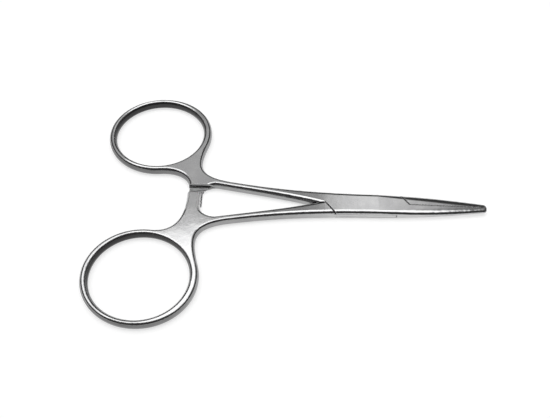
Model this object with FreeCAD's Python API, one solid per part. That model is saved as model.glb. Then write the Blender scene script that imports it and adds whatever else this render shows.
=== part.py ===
import FreeCAD, Part
import math
import os

# A small straight hemostat of the mosquito pattern, closed on its ratchet, all in millimetres.
# It is two forged halves and one pivot pin. The box half carries a slotted lock, and the tongue half
# passes through that slot, so the shanks cross there. Each half runs from finger ring to jaw.
# The origin is on the pivot axis at the underside of the lock, +X runs to the jaw tips,
# +Y to the box half's ring, and +Z is up out of the flat side that the tool lies on.

# Lengths along the tool, from the pivot axis
JAW_REACH = 27.1
NOSE_LENGTH = 0.75
LOCK_REACH = 9.9
TAPER_START = 2.5
YOKE_END = 31.5
RING_HOLE_X = 49.85
RING_HOLE_Y = 19.78

# Thicknesses
LOCK_THICK = 2.6
HANDLE_THICK = 2.35
JAW_TIP_THICK = 1.2

# Finger ring: an oval hole that flares outwards, and the band round it on each of its four sides
RING_HOLE_LONG = 10.68
RING_HOLE_SHORT = 0.943 * RING_HOLE_LONG
RING_FLARE_DEG = 7.0
BAND_BACK = 1.7
BAND_FRONT = 2.0
BAND_OUTER = 1.5
BAND_INNER = 1.55

# Rounding of the long edges: its width in plan, and how many times as deep as wide it is
HANDLE_ROUND = 0.7
HANDLE_ROUND_DEPTH = 1.5
LOCK_ROUND = 0.9
LOCK_ROUND_DEPTH = 0.8

# Shank: where it leaves the yoke, and the slopes of its two edges at both ends
YOKE_INNER = 3.73
YOKE_SHANK_WIDTH = 1.76
YOKE_SLOPE = 0.173
FORK_INNER_SLOPE = 0.27
LOCK_INNER = 0.55
LOCK_BACK_SLOPE = 0.055

# Closed lock and jaws: half widths and slopes of their sides, and how round the jaws' section is at the tip,
# where 1 would be a full oval
LOCK_BACK_HALF = 3.05
LOCK_FRONT_HALF = 2.6
LOCK_FRONT_SLOPE = 0.03
JAW_TIP_HALF = 1.08
JAW_TIP_SLOPE = 0.13
JAW_TIP_ROUNDNESS = 0.92

# Box lock
TONGUE_THICK = 0.9
SLOT_CLEARANCE = 0.05
SLOT_SIDE_CLEARANCE = 0.1
SHOULDER_RUN = 2.3
WALL_RUN = 3.9
SHOULDER_GAP = 0.3
PARTING_GAP = 0.26

# Pivot pin, peened into a countersink in each face of the box half and ground flush
PIN_RADIUS = 0.95
PIN_CLEARANCE = 0.03
PIN_HEAD_RADIUS = 1.2
PIN_HEAD_DEPTH = 0.25

# Ratchet arms, from the back edge to the front edge, and from where the back edge turns straight to how far
# the arm reaches past the long axis. The curve from the ring pulls into the back edge.
BOX_ARM_BACK_X = 41.3
BOX_ARM_FRONT_X = 38.1
BOX_ARM_ROOT_Y = 3.2
BOX_ARM_PULL = 3.0
BOX_ARM_REACH = 1.7
TONGUE_ARM_BACK_X = 41.6
TONGUE_ARM_FRONT_X = 38.4
TONGUE_ARM_ROOT_Y = -1.4
TONGUE_ARM_PULL = 6.5
TONGUE_ARM_REACH = 2.6

# One arm lies under the other, with saw teeth on the faces that meet
ARM_CORNER = 0.8
ARM_CROTCH_Y = 1.9
ARM_STEP_Y = 4.3
ARM_CLEARANCE = 0.1
TOOTH_PITCH = 0.9
TOOTH_HEIGHT = 0.35
TOOTH_COUNT = 6

# Jaw serrations, which mesh when the jaws are closed
SERRATION_START = LOCK_REACH + 0.7
SERRATION_PITCH = 0.7
SERRATION_HEIGHT = 0.16
JAW_CLEARANCE = 0.1

# Where the handle's curves leave the ring, and how hard they pull out of their ends
RING_LEAVE_DEG = -22
RING_JOIN_DEG = 268
OUTER_PULL = 8.2
RING_SIDE_PULL = 7.0
UNDER_PULL = 5.0
CROTCH_PULL = 1.5
CROTCH_RUN = 3.1

BOX_ARM = BOX_ARM_BACK_X, BOX_ARM_FRONT_X, BOX_ARM_ROOT_Y, BOX_ARM_PULL, BOX_ARM_REACH
TONGUE_ARM = TONGUE_ARM_BACK_X, TONGUE_ARM_FRONT_X, TONGUE_ARM_ROOT_Y, TONGUE_ARM_PULL, TONGUE_ARM_REACH
MID = LOCK_THICK / 2
MARGIN = 3.0
CORNER_SHARE = 1 - math.sqrt(0.5)


def vec(x, y, z=0.0):
    return FreeCAD.Vector(x, y, z)


def blend(x, start, end):
    """The value at x of a smooth cubic between two ends, each given as x, value and slope."""
    x0, y0, slope0 = start
    x1, y1, slope1 = end
    length = x1 - x0
    t = (x - x0) / length
    value = (1 + 2 * t) * (1 - t) ** 2 * y0 + t * t * (3 - 2 * t) * y1
    return value + length * (t * (1 - t) ** 2 * slope0 - t * t * (1 - t) * slope1)


def prism(points, low, high):
    """An upright block of polygon outline from height low to height high."""
    corners = [vec(x, y, low) for x, y in points]
    return Part.Face(Part.makePolygon(corners + corners[:1])).extrude(vec(0, 0, high - low))


def turned_over(shape):
    """The shape turned half way round the tool's long axis, at mid thickness."""
    copy = shape.copy()
    copy.rotate(vec(0, 0, MID), vec(1, 0, 0), 180)
    return copy


def stretched(shape, times):
    """The shape made the given times as thick, about mid thickness."""
    matrix = FreeCAD.Matrix()
    matrix.move(vec(0, 0, -MID))
    matrix.scale(1, 1, times)
    matrix.move(vec(0, 0, MID))
    return shape.transformGeometry(matrix)


def section(x, inner, outer, thick, radius, depth):
    """A rounded rectangle in the plane x, from inner to outer in Y, centred on mid thickness."""
    low = MID - thick / depth / 2
    high = MID + thick / depth / 2
    step = radius * CORNER_SHARE
    corners = [(outer, low, -1, 1), (outer, high, -1, -1), (inner, high, 1, -1), (inner, low, 1, 1)]
    arcs = []
    for count, (y, z, dy, dz) in enumerate(corners):
        along = vec(x, y, z + dz * radius)
        across = vec(x, y + dy * radius, z)
        middle = vec(x, y + dy * step, z + dz * step)
        start, end = (across, along) if count % 2 == 0 else (along, across)
        arcs.append(Part.Arc(start, middle, end).toShape())
    edges = []
    for count, arc in enumerate(arcs):
        following = arcs[(count + 1) % len(arcs)]
        edges += [arc, Part.makeLine(arc.lastVertex().Point, following.firstVertex().Point)]
    return stretched(Part.Wire(edges), depth)


def loft(sections):
    return Part.makeLoft([section(*s) for s in sections], True, False)


def ring_oval(centre, long_radius, short_radius):
    """An oval whose long axis flares outwards."""
    angle = math.radians(RING_FLARE_DEG)
    long_axis = vec(math.cos(angle), math.sin(angle))
    short_axis = vec(-math.sin(angle), math.cos(angle))
    return Part.Ellipse(centre + long_axis * long_radius, centre + short_axis * short_radius, centre)


def bezier(start, start_pull, end_pull, end):
    curve = Part.BezierCurve()
    curve.setPoles([start, start + start_pull, end + end_pull, end])
    return curve.toShape()


def rounded_tip(back, front, tip):
    """The arm's end, from its back edge round two corners to its front edge."""
    radius = ARM_CORNER
    step = radius * CORNER_SHARE
    back_arc = Part.Arc(vec(back, tip + radius), vec(back + step, tip + step), vec(back + radius, tip))
    front_arc = Part.Arc(vec(front - radius, tip), vec(front - step, tip + step), vec(front, tip + radius))
    end = Part.makeLine(vec(back + radius, tip), vec(front - radius, tip))
    return [back_arc.toShape(), end, front_arc.toShape()]


def handle_face(arm):
    """Plan of ring, yoke and ratchet arm, as far as the shank's straight start."""
    arm_back, arm_front, arm_root, arm_pull, arm_reach = arm
    hole_centre = vec(-RING_HOLE_X, RING_HOLE_Y)
    angle = math.radians(RING_FLARE_DEG)
    long_shift = vec(math.cos(angle), math.sin(angle)) * ((BAND_FRONT - BAND_BACK) / 2)
    short_shift = vec(-math.sin(angle), math.cos(angle)) * ((BAND_OUTER - BAND_INNER) / 2)
    ring_centre = hole_centre + long_shift + short_shift
    ring_long = RING_HOLE_LONG + (BAND_FRONT + BAND_BACK) / 2
    ring_short = RING_HOLE_SHORT + (BAND_OUTER + BAND_INNER) / 2
    ring = ring_oval(ring_centre, ring_long, ring_short)
    hole = ring_oval(hole_centre, RING_HOLE_LONG, RING_HOLE_SHORT)
    leave = math.radians(RING_LEAVE_DEG)
    join = math.radians(RING_JOIN_DEG)
    leave_way = ring.tangent(leave)[0]
    join_way = ring.tangent(join)[0]
    slope = vec(1, -YOKE_SLOPE)
    inner = vec(-YOKE_END, YOKE_INNER)
    outer = vec(-YOKE_END, YOKE_INNER + YOKE_SHANK_WIDTH)
    inner_end = inner + slope * MARGIN
    outer_end = outer + slope * MARGIN
    root = vec(-arm_back, arm_root)
    crotch = vec(-arm_front, ARM_CROTCH_Y)
    shank_root = inner - slope * CROTCH_RUN
    tip = rounded_tip(-arm_back, -arm_front, -arm_reach)
    edges = [
        Part.makeLine(outer_end, outer),
        bezier(outer, slope * -OUTER_PULL, leave_way * -RING_SIDE_PULL, ring.value(leave)),
        Part.ArcOfEllipse(ring, leave, join).toShape(),
        bezier(ring.value(join), join_way * UNDER_PULL, vec(0, arm_pull), root),
        Part.makeLine(root, tip[0].firstVertex().Point),
        *tip,
        Part.makeLine(tip[2].lastVertex().Point, crotch),
        bezier(crotch, vec(0, CROTCH_PULL), slope * -CROTCH_PULL, shank_root),
        Part.makeLine(shank_root, inner_end),
        Part.makeLine(inner_end, outer_end),
    ]
    return Part.Face(Part.Wire(edges)).cut(Part.Face(Part.Wire(hole.toShape())))


def handle(arm):
    """Ring, yoke and arm at full thickness, with rounded edges, cut square where the shank starts."""
    thick = HANDLE_THICK / HANDLE_ROUND_DEPTH
    blank = handle_face(arm).extrude(vec(0, 0, thick))
    blank.translate(vec(0, 0, MID - thick / 2))
    end_x = MARGIN - YOKE_END
    level = [edge for edge in blank.Edges if edge.BoundBox.ZLength < thick / 2]
    rim = [edge for edge in level if edge.BoundBox.XMin < end_x - MARGIN / 2]
    reach = 2 * RING_HOLE_X
    keep = Part.makeBox(reach, reach, reach, vec(-reach - YOKE_END, -reach / 4, -reach / 2))
    return stretched(blank.makeFillet(HANDLE_ROUND, rim).common(keep), HANDLE_ROUND_DEPTH)


def ratchet_cutter(arm):
    """Takes the upper half off the arm's thickness and leaves saw teeth on the face it makes."""
    arm_back, arm_front, _, _, arm_reach = arm
    crest = MID - ARM_CLEARANCE / 2
    left = -arm_back - MARGIN
    right = -arm_front + MARGIN
    outside = -arm_reach - MARGIN
    y = ARM_STEP_Y - TOOTH_PITCH / 2
    profile = [(ARM_STEP_Y, crest + MARGIN), (ARM_STEP_Y, crest), (y, crest)]
    for _ in range(TOOTH_COUNT):
        profile.append((y, crest - TOOTH_HEIGHT))
        y -= TOOTH_PITCH
        profile.append((y, crest))
    profile += [(outside, crest), (outside, crest + MARGIN)]
    corners = [vec(left, y, z) for y, z in profile]
    face = Part.Face(Part.makePolygon(corners + corners[:1]))
    return face.extrude(vec(right - left, 0, 0))


def shank(seam):
    """The box half's shank, from its seam with the yoke to the back of the lock."""
    yoke_outer = YOKE_INNER + YOKE_SHANK_WIDTH
    inner_ends = (-YOKE_END, YOKE_INNER, -YOKE_SLOPE), (-LOCK_REACH, -LOCK_INNER, -FORK_INNER_SLOPE)
    outer_ends = (-YOKE_END, yoke_outer, -YOKE_SLOPE), (-LOCK_REACH, LOCK_BACK_HALF, -LOCK_BACK_SLOPE)
    wires = [seam]
    for share in (0.04, 0.2, 0.4, 0.6, 0.8, 1):
        x = -YOKE_END + share * (YOKE_END - LOCK_REACH)
        thick = HANDLE_THICK + share * (LOCK_THICK - HANDLE_THICK)
        radius = HANDLE_ROUND + share * (LOCK_ROUND - HANDLE_ROUND)
        depth = HANDLE_ROUND_DEPTH + share * (LOCK_ROUND_DEPTH - HANDLE_ROUND_DEPTH)
        wires.append(section(x, blend(x, *inner_ends), blend(x, *outer_ends), thick, radius, depth))
    reach = YOKE_END - LOCK_REACH
    keep = Part.makeBox(2 * reach, reach, reach, vec(-YOKE_END - MARGIN, PARTING_GAP / 2, -reach / 2))
    return Part.makeLoft(wires, True, False).common(keep)


def lock_half_width(x):
    """Half the closed tool's width at the lock and jaws."""
    back = (-LOCK_REACH, LOCK_BACK_HALF, -LOCK_BACK_SLOPE)
    front = (LOCK_REACH, LOCK_FRONT_HALF, -LOCK_FRONT_SLOPE)
    tip = (JAW_REACH, JAW_TIP_HALF, -JAW_TIP_SLOPE)
    if x < LOCK_REACH:
        return blend(x, back, front)
    return blend(x, front, tip)


def envelope():
    """The closed lock and jaws as one body, before the halves are parted."""
    lock = []
    for share in (-0.25, 0, 0.25, 0.5, 0.75, 1):
        x = -LOCK_REACH + share * (TAPER_START + LOCK_REACH)
        half = lock_half_width(x)
        lock.append((x, -half, half, LOCK_THICK, LOCK_ROUND, LOCK_ROUND_DEPTH))
    jaws = []
    wide_start = LOCK_ROUND / lock_half_width(TAPER_START)
    deep_start = LOCK_ROUND * LOCK_ROUND_DEPTH / (LOCK_THICK / 2)
    for share in (0, 0.15, 0.3, 0.5, 0.7, 0.85, 1):
        x = TAPER_START + share * (JAW_REACH - TAPER_START)
        half = lock_half_width(x)
        thick = LOCK_THICK + share * (JAW_TIP_THICK - LOCK_THICK)
        wide = half * (wide_start + share * (JAW_TIP_ROUNDNESS - wide_start))
        deep = thick / 2 * (deep_start + share * (JAW_TIP_ROUNDNESS - deep_start))
        jaws.append((x, -half, half, thick, wide, deep / wide))
    nose = []
    for degrees in (0, 25, 45, 60, 75):
        turn = math.radians(degrees)
        half = JAW_TIP_HALF * math.cos(turn)
        thick = JAW_TIP_THICK * math.cos(turn)
        wide = half * JAW_TIP_ROUNDNESS
        nose.append((JAW_REACH + NOSE_LENGTH * math.sin(turn), -half, half, thick, wide, thick / 2 / half))
    length = LOCK_REACH + JAW_REACH + MARGIN
    keep = Part.makeBox(length, length, length, vec(-LOCK_REACH, -length / 2, -length / 2))
    return loft(lock).fuse([loft(jaws), loft(nose)]).common(keep)


def slanted(run, gap):
    """Slope of a slanted wall of the lock, and its shift along X that leaves a gap square to it."""
    return run / LOCK_BACK_HALF, gap * math.hypot(run, LOCK_BACK_HALF) / LOCK_BACK_HALF


def back_root(gap, parting):
    """Plan of the tongue half's full-thickness root behind the lock, grown by a shoulder gap."""
    wide = 2 * LOCK_BACK_HALF
    run, shift = slanted(SHOULDER_RUN, gap)
    start = shift - LOCK_REACH
    behind = -LOCK_REACH - MARGIN
    return [(start - parting * run, parting), (start + wide * run, -wide), (behind, -wide), (behind, parting)]


def jaw_line(offset):
    """The serrated line on which the jaws meet, from the lock to past the tip, shifted in Y."""
    points = [(SERRATION_START, offset)]
    count = int((JAW_REACH + NOSE_LENGTH / 2 - SERRATION_START) / SERRATION_PITCH)
    for ridge in range(count):
        x = SERRATION_START + ridge * SERRATION_PITCH
        points.append((x + SERRATION_PITCH / 4, offset + SERRATION_HEIGHT / 2))
        points.append((x + SERRATION_PITCH * 3 / 4, offset - SERRATION_HEIGHT / 2))
    points.append((SERRATION_START + count * SERRATION_PITCH, offset))
    points.append((JAW_REACH + MARGIN, offset))
    return points


def front_root(gap, offset):
    """Plan of the tongue half's jaw and its full-thickness root, grown by a shoulder gap."""
    wide = 2 * LOCK_BACK_HALF
    run, shift = slanted(SHOULDER_RUN, gap)
    start = LOCK_REACH - shift
    outside = [(JAW_REACH + MARGIN, wide), (start - wide * run, wide), (start - offset * run, offset)]
    return jaw_line(offset) + outside


def tongue_plan(gap):
    """Plan of the tongue inside the lock, grown at its two hidden walls."""
    wide = 1.2 * LOCK_BACK_HALF
    run, shift = slanted(WALL_RUN, gap)
    reach = LOCK_REACH + shift
    back = [(-reach, 0), (-reach, -wide), (reach - wide * run, -wide)]
    return back + [(-x, -y) for x, y in back]


def pivot_pin():
    shaft = Part.makeCylinder(PIN_RADIUS, LOCK_THICK)
    foot = Part.makeCone(PIN_HEAD_RADIUS, PIN_RADIUS, PIN_HEAD_DEPTH)
    return shaft.fuse([foot, turned_over(foot)]).removeSplitter()


def grip(arm):
    """Ring, yoke and toothed arm with the shank, as on the box half."""
    blank = handle(arm)
    seam = max(blank.Faces, key=lambda face: face.CenterOfMass.x)
    return blank.cut(ratchet_cutter(arm)).fuse(shank(seam.OuterWire))


def box_half(closed):
    half_slot = TONGUE_THICK / 2 + SLOT_CLEARANCE
    cutters = [
        prism(back_root(SHOULDER_GAP, PARTING_GAP / 2), -MARGIN, LOCK_THICK + MARGIN),
        prism(front_root(SHOULDER_GAP, -JAW_CLEARANCE / 2), -MARGIN, LOCK_THICK + MARGIN),
        prism(tongue_plan(SLOT_SIDE_CLEARANCE), MID - half_slot, MID + half_slot),
        pivot_pin(),
    ]
    return closed.cut(cutters).fuse(grip(BOX_ARM))


def tongue_half(closed):
    root = prism(back_root(0, -PARTING_GAP / 2), -MARGIN, LOCK_THICK + MARGIN)
    jaw = prism(front_root(0, JAW_CLEARANCE / 2), -MARGIN, LOCK_THICK + MARGIN)
    tongue = prism(tongue_plan(0), MID - TONGUE_THICK / 2, MID + TONGUE_THICK / 2)
    bore = Part.makeCylinder(PIN_RADIUS + PIN_CLEARANCE, LOCK_THICK)
    lock = closed.common(root.fuse([jaw, tongue])).cut(bore)
    return lock.fuse(turned_over(grip(TONGUE_ARM)))


def write(name, shape):
    """One closed solid to its own file."""
    print(name, "solids:", len(shape.Solids), "valid:", shape.isValid(), "volume:", round(shape.Volume, 2))
    shape.Solids[0].exportStep(os.path.join("parts", name + ".step"))


os.makedirs("parts", exist_ok=True)
closed_body = envelope()
write("box_half", box_half(closed_body))
write("tongue_half", tongue_half(closed_body))
write("pivot_pin", pivot_pin())
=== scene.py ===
import math

import bpy
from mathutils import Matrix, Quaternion, Vector

# A small straight hemostat in stainless steel, lying closed on its ratchet on a white floor.
# Sizes are in metres unless a name says otherwise.
MM = 0.001

# Camera: where it stands and looks, in millimetres, with its roll about the line of sight
CAMERA_PLACE_MM = (-23.609, -80.946, 116.65)
CAMERA_TARGET_MM = (-21.264, -1.467, 1.3)
CAMERA_ROLL_DEG = 2.83
CAMERA_LENS = 40.0
CAMERA_CLIP = (0.005, 10.0)

# Sky, seen in the steel: shares of SKY_STRENGTH at each height and each side of a direction
SKY_STRENGTH = 2.2
SKY_HEIGHTS = [(0.0, 0.0), (0.62, 0.0), (0.68, 0.2), (0.71, 0.35), (0.75, 0.6),
               (0.79, 0.62), (0.812, 0.54), (0.8265, 0.54)]
SKY_SIDES = [(-1.0, 0.5), (-0.06, 0.5), (0.0, 0.38), (0.05, 0.26), (0.085, 0.38), (0.11, 0.78), (0.15, 1.0),
             (0.18, 1.0), (0.235, 0.8), (0.265, 0.66), (0.32, 0.56), (0.345, 0.3), (0.4, 0.18)]
SKY_LEAST = 0.03

# The white softbox overhead: the height of its edge, and how much higher that edge lies at each side
SOFTBOX_EDGE = (0.828, 0.84)
SOFTBOX_LIFTS = [(-0.1, 0.0), (-0.06, 0.03), (0.0, 0.065), (0.12, 0.065), (0.35, 0.08)]

# The dark near side and the pale backdrop that stands low all round, each with its soft edge
NEAR_SIDE_EDGE = (-0.26, -0.12)
BACKDROP = 0.42
BACKDROP_EDGE = (0.1, 0.07)

# A wide lamp overhead gives the floor its soft shadow
LAMP_PLACE = (-0.02, 0.0, 0.45)
LAMP_SIZE = 0.5
LAMP_POWER = 0.9

# The floor lies a hair below the tool, and a glow keeps it white
FLOOR_SIZE = 3.0
FLOOR_DROP = 0.02 * MM
FLOOR_COLOUR = (0.42, 0.42, 0.42, 1)
FLOOR_GLOW = 0.67

# Steel: tones, what counts as flat, and roughness of polished sides, satin flats and milled ratchet faces
STEEL_TONES = [(0.3, (0.47, 0.47, 0.475, 1)), (0.7, (0.55, 0.55, 0.55, 1))]
FLAT_FACING = [(0.9, 0.0), (0.995, 1.0)]
POLISHED = 0.09
SATIN = 0.1
MILLED = 0.55
MILLED_LIGHTER = 0.8

# The hand finish's waves: scale, detail and roughness of the pattern, depth, and strength on sides and flats
CLOUD = (260.0, 4.0, 0.6)
CLOUD_DEPTH = 0.4 * MM
CLOUD_STRENGTH = (0.12, 0.04)

# The fine grain: its pattern and depth, and how its middle band spreads the roughness
GRAIN = (9000.0, 3.0, 0.7)
GRAIN_DEPTH = 0.02 * MM
GRAIN_STRENGTH = 0.08
GRAIN_BAND = (0.3, 0.7)
GRAIN_SPREAD = (-0.03, 0.05)

# The ratchet's arms: middle and half size along X and Y
RATCHET_MIDDLE = (-39.9 * MM, 0.6 * MM)
RATCHET_HALF = (3.0 * MM, 3.6 * MM)

# Sharp edges are a little rounded, but not near the flush pin
EDGE_ROUND = 0.2 * MM
FLUSH_PIN_REACH = 2.2 * MM

# Painted shade in narrow gaps, where an occlusion test darkens the steel's colour: how far gaps are felt
# for, and the tone from closed to open
GAP_SHADE_DEPTH = 0.5 * MM
GAP_SHADE_TONES = [(0.3, 0.02), (0.62, 1.0)]

# Painted shade on the handles' steep sides, in place of dark reflections, so they are darker than their
# rounded edges: share of the steel's tone at each place along X
WALL_SHADE_RANGE = (-62 * MM, -6 * MM)
WALL_SHADE_TONES = [(0.0, 0.26), (0.36, 0.4), (0.46, 0.6), (0.8, 0.66), (1.0, 1.0)]
WALL_SHADE_FACING = (0.8, 0.45)

# Painted shade, darker still, on the finger holes' own sides, out to this distance from the middle of each
# hole
HOLE_MIDDLE = (-49.85 * MM, 19.78 * MM)
HOLE_SHADE_REACH = (11.5 * MM, 11.1 * MM)
HOLE_SHADE_TONES = (1.0, 0.3)

# Sockets of the mixing node that hold colours: the two that come in and the one that goes out
MIX_COLOURS = (6, 7)
MIX_RESULT = 2


def add(tree, kind, settings=None, links=None):
    """A node with its own settings, socket values and incoming links."""
    node = tree.nodes.new(kind)
    for name, value in (settings or {}).items():
        if name in node.bl_rna.properties:
            setattr(node, name, value)
        else:
            node.inputs[name].default_value = value
    for name, source in (links or {}).items():
        tree.links.new(source, node.inputs[name])
    return node


def maths(tree, operation, *values):
    """One step of arithmetic on sockets and plain numbers."""
    node = add(tree, "ShaderNodeMath", {"operation": operation})
    for socket, value in zip(node.inputs, values):
        if isinstance(value, float):
            socket.default_value = value
        else:
            tree.links.new(value, socket)
    return node.outputs["Value"]


def mapped(tree, value, source, target=(0.0, 1.0), kind="LINEAR"):
    """A value carried over from one range to another and kept within it."""
    ranges = {"From Min": source[0], "From Max": source[1], "To Min": target[0], "To Max": target[1]}
    node = add(tree, "ShaderNodeMapRange", {"interpolation_type": kind, **ranges}, {"Value": value})
    return node.outputs["Result"]


def ramp(tree, source, stops):
    """Colours blended through the given (position, colour) stops."""
    node = add(tree, "ShaderNodeValToRGB", {}, {"Fac": source})
    elements = node.color_ramp.elements
    while len(elements) < len(stops):
        elements.new(0.5)
    for element, (place, colour) in zip(elements, stops):
        element.position = place
        element.color = colour
    return node.outputs["Color"]


def shares(tree, source, stops):
    """Shares blended through the given (position, share) stops."""
    return ramp(tree, source, [(place, (share, share, share, 1)) for place, share in stops])


def axes(tree, vector):
    """The X, Y and Z of a vector."""
    return add(tree, "ShaderNodeSeparateXYZ", {}, {"Vector": vector}).outputs


def distance(tree, x, y):
    """How far x and y are from zero together."""
    place = add(tree, "ShaderNodeCombineXYZ", {}, {"X": x, "Y": y})
    length = add(tree, "ShaderNodeVectorMath", {"operation": "LENGTH"}, {"Vector": place.outputs["Vector"]})
    return length.outputs["Value"]


def pattern(tree, place, scale, detail, roughness):
    """A cloudy pattern through the steel."""
    settings = {"Scale": scale, "Detail": detail, "Roughness": roughness}
    return add(tree, "ShaderNodeTexNoise", settings, {"Vector": place}).outputs["Fac"]


def ratchet_share(tree, x, y):
    """1 on the meeting arms of the ratchet and 0 elsewhere."""
    along = maths(tree, "COMPARE", x, RATCHET_MIDDLE[0], RATCHET_HALF[0])
    across = maths(tree, "COMPARE", y, RATCHET_MIDDLE[1], RATCHET_HALF[1])
    return maths(tree, "MULTIPLY", along, across)


def painted_wall_shade(tree, x, y, level):
    """Painted shade on the steep sides along the tool, darker in the finger holes, and 1 on all that faces
    up or down.
    """
    tones = shares(tree, mapped(tree, x, WALL_SHADE_RANGE), WALL_SHADE_TONES)
    ahead = maths(tree, "SUBTRACT", x, HOLE_MIDDLE[0])
    aside = maths(tree, "SUBTRACT", maths(tree, "ABSOLUTE", y), HOLE_MIDDLE[1])
    hole = mapped(tree, distance(tree, ahead, aside), HOLE_SHADE_REACH, HOLE_SHADE_TONES)
    tone = maths(tree, "MULTIPLY", tones, hole)
    steep = mapped(tree, level, WALL_SHADE_FACING)
    share = add(tree, "ShaderNodeMix", {"data_type": "FLOAT", "A": 1.0}, {"Factor": steep, "B": tone})
    return share.outputs["Result"]


def steel_colour(tree, cloud, ratchet, milled, wall_shade):
    """Cloudy steel, lighter where milled, with painted shade on the handles' steep sides and in narrow gaps.
    """
    # Painted shade: occlusion finds narrow gaps and darkens the colour there
    gap_shade = add(tree, "ShaderNodeAmbientOcclusion", {"Distance": GAP_SHADE_DEPTH})
    share = shares(tree, gap_shade.outputs["AO"], GAP_SHADE_TONES)
    share = maths(tree, "MAXIMUM", share, ratchet)
    share = maths(tree, "MULTIPLY_ADD", milled, MILLED_LIGHTER, share)
    share = maths(tree, "MULTIPLY", share, wall_shade)
    tone = ramp(tree, cloud, STEEL_TONES)
    colour = add(tree, "ShaderNodeMix", {"data_type": "RGBA", "blend_type": "MULTIPLY", "Factor": 1.0},
                 {MIX_COLOURS[0]: tone, MIX_COLOURS[1]: share})
    return colour.outputs[MIX_RESULT]


def steel_roughness(tree, grain, flat, milled):
    """Polished sides, satin flats and rough milled faces, all a little uneven."""
    base = mapped(tree, flat, (0.0, 1.0), (POLISHED, SATIN))
    spread = mapped(tree, grain, GRAIN_BAND, GRAIN_SPREAD)
    smooth = maths(tree, "ADD", base, spread)
    return maths(tree, "MULTIPLY_ADD", milled, MILLED, smooth)


def steel_normal(tree, reach, cloud, grain, flat):
    """Rounded edges away from the pin, with the hand finish's waves and grain."""
    radius = maths(tree, "MULTIPLY", maths(tree, "GREATER_THAN", reach, FLUSH_PIN_REACH), EDGE_ROUND)
    edge = add(tree, "ShaderNodeBevel", {}, {"Radius": radius})
    strength = mapped(tree, flat, (0.0, 1.0), CLOUD_STRENGTH)
    wave = add(tree, "ShaderNodeBump", {"Distance": CLOUD_DEPTH},
               {"Strength": strength, "Height": cloud, "Normal": edge.outputs["Normal"]})
    fine = add(tree, "ShaderNodeBump", {"Strength": GRAIN_STRENGTH, "Distance": GRAIN_DEPTH},
               {"Height": grain, "Normal": wave.outputs["Normal"]})
    return fine.outputs["Normal"]


def steel(material):
    """Forged stainless steel with satin flats, polished edges and a faint waviness from hand finishing."""
    material.use_nodes = True
    tree = material.node_tree
    tree.nodes.clear()
    place = add(tree, "ShaderNodeTexCoord").outputs
    spot = axes(tree, place["Object"])
    level = maths(tree, "ABSOLUTE", axes(tree, place["Normal"])["Z"])
    flat = shares(tree, level, FLAT_FACING)
    cloud = pattern(tree, place["Object"], *CLOUD)
    grain = pattern(tree, place["Object"], *GRAIN)
    ratchet = ratchet_share(tree, spot["X"], spot["Y"])
    milled = maths(tree, "MULTIPLY", ratchet, maths(tree, "SUBTRACT", 1.0, flat))
    # Painted shade on the steep sides, left off the ratchet
    wall_shade = maths(tree, "MAXIMUM", painted_wall_shade(tree, spot["X"], spot["Y"], level), ratchet)
    reach = distance(tree, spot["X"], spot["Y"])
    shader = add(tree, "ShaderNodeBsdfPrincipled", {"Metallic": 1.0},
                 {"Base Color": steel_colour(tree, cloud, ratchet, milled, wall_shade),
                  "Roughness": steel_roughness(tree, grain, flat, milled),
                  "Normal": steel_normal(tree, reach, cloud, grain, flat)})
    add(tree, "ShaderNodeOutputMaterial", {}, {"Surface": shader.outputs["BSDF"]})


def floor_material():
    """Matt white, with a glow that shows in direct view, in mirrors and through glass."""
    material = bpy.data.materials.new("floor")
    material.use_nodes = True
    tree = material.node_tree
    tree.nodes.clear()
    ray = add(tree, "ShaderNodeLightPath").outputs
    seen = maths(tree, "MAXIMUM", ray["Is Camera Ray"], ray["Is Glossy Ray"])
    seen = maths(tree, "MAXIMUM", seen, ray["Is Transmission Ray"])
    glow = add(tree, "ShaderNodeEmission", {}, {"Strength": maths(tree, "MULTIPLY", seen, FLOOR_GLOW)})
    matt = add(tree, "ShaderNodeBsdfDiffuse", {"Color": FLOOR_COLOUR})
    both = add(tree, "ShaderNodeAddShader", {}, {0: matt.outputs["BSDF"], 1: glow.outputs["Emission"]})
    add(tree, "ShaderNodeOutputMaterial", {}, {"Surface": both.outputs["Shader"]})
    return material


def floor():
    """A plain white floor that keeps the tool's soft shadow."""
    half = FLOOR_SIZE / 2
    square = [(-half, -half, 0), (half, -half, 0), (half, half, 0), (-half, half, 0)]
    mesh = bpy.data.meshes.new("floor")
    mesh.from_pydata(square, [], [(0, 1, 2, 3)])
    mesh.materials.append(floor_material())
    plane = bpy.data.objects.new("floor", mesh)
    plane.location.z = -FLOOR_DROP
    bpy.context.scene.collection.objects.link(plane)


def sky_light(tree, side, depth, height):
    """Brightness of a direction, by its side (positive towards the jaws), its depth (negative towards the
    viewer) and its height (0 when level and 1 overhead)."""
    across = mapped(tree, side, (-1.0, 1.0))
    sides = shares(tree, across, [(0.5 + place / 2, share) for place, share in SKY_SIDES])
    lifts = shares(tree, across, [(0.5 + place / 2, lift) for place, lift in SOFTBOX_LIFTS])
    dim = maths(tree, "MULTIPLY", shares(tree, height, SKY_HEIGHTS), sides)
    softbox = mapped(tree, maths(tree, "SUBTRACT", height, lifts), SOFTBOX_EDGE, kind="SMOOTHSTEP")
    beyond = mapped(tree, depth, NEAR_SIDE_EDGE, kind="SMOOTHSTEP")
    light = maths(tree, "MULTIPLY", maths(tree, "MAXIMUM", dim, softbox), beyond)
    light = maths(tree, "MAXIMUM", light, SKY_LEAST)
    return maths(tree, "MAXIMUM", light, mapped(tree, height, BACKDROP_EDGE, (0.0, BACKDROP)))


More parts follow.
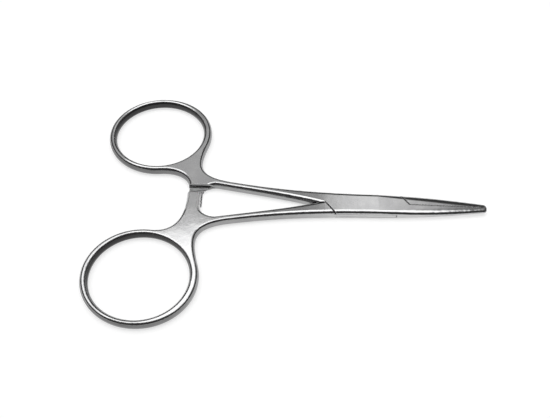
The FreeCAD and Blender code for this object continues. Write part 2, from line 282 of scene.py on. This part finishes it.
def sky():
    """Soft surroundings: white overhead, dimmer beyond the tool, dark on the near side, pale low down."""
    world = bpy.data.worlds.new("sky")
    world.use_nodes = True
    tree = world.node_tree
    tree.nodes.clear()
    way = axes(tree, add(tree, "ShaderNodeTexCoord").outputs["Generated"])
    light = sky_light(tree, way["X"], way["Y"], way["Z"])
    background = add(tree, "ShaderNodeBackground", {"Strength": SKY_STRENGTH}, {"Color": light})
    add(tree, "ShaderNodeOutputWorld", {}, {"Surface": background.outputs["Background"]})
    bpy.context.scene.world = world


def lamp():
    """A wide soft lamp overhead for the floor and its shadow."""
    data = bpy.data.lights.new("lamp", "AREA")
    data.shape = "DISK"
    data.size = LAMP_SIZE
    data.energy = LAMP_POWER
    light = bpy.data.objects.new("lamp", data)
    light.location = LAMP_PLACE
    light.visible_glossy = False
    bpy.context.scene.collection.objects.link(light)


def camera():
    """The camera, looking down across the tool from its near side."""
    data = bpy.data.cameras.new("camera")
    data.lens = CAMERA_LENS
    data.clip_start, data.clip_end = CAMERA_CLIP
    place = Vector(CAMERA_PLACE_MM) * MM
    target = Vector(CAMERA_TARGET_MM) * MM
    view = bpy.data.objects.new("camera", data)
    view.location = place
    view.rotation_mode = "QUATERNION"
    roll = Quaternion((0, 0, 1), math.radians(CAMERA_ROLL_DEG))
    view.rotation_quaternion = (target - place).to_track_quat("-Z", "Y") @ roll
    bpy.context.scene.collection.objects.link(view)
    bpy.context.scene.camera = view


bpy.ops.wm.read_factory_settings(use_empty=True)
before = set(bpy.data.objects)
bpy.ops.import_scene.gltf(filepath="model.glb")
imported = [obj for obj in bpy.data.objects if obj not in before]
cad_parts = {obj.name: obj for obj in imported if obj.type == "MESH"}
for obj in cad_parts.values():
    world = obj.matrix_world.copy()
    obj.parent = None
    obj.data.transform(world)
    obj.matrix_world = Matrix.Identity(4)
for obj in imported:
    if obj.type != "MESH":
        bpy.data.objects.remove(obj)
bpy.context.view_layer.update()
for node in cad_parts.values():
    steel(node.material_slots[0].material)
floor()
sky()
lamp()
camera()
bpy.context.scene.view_settings.view_transform = "Standard"
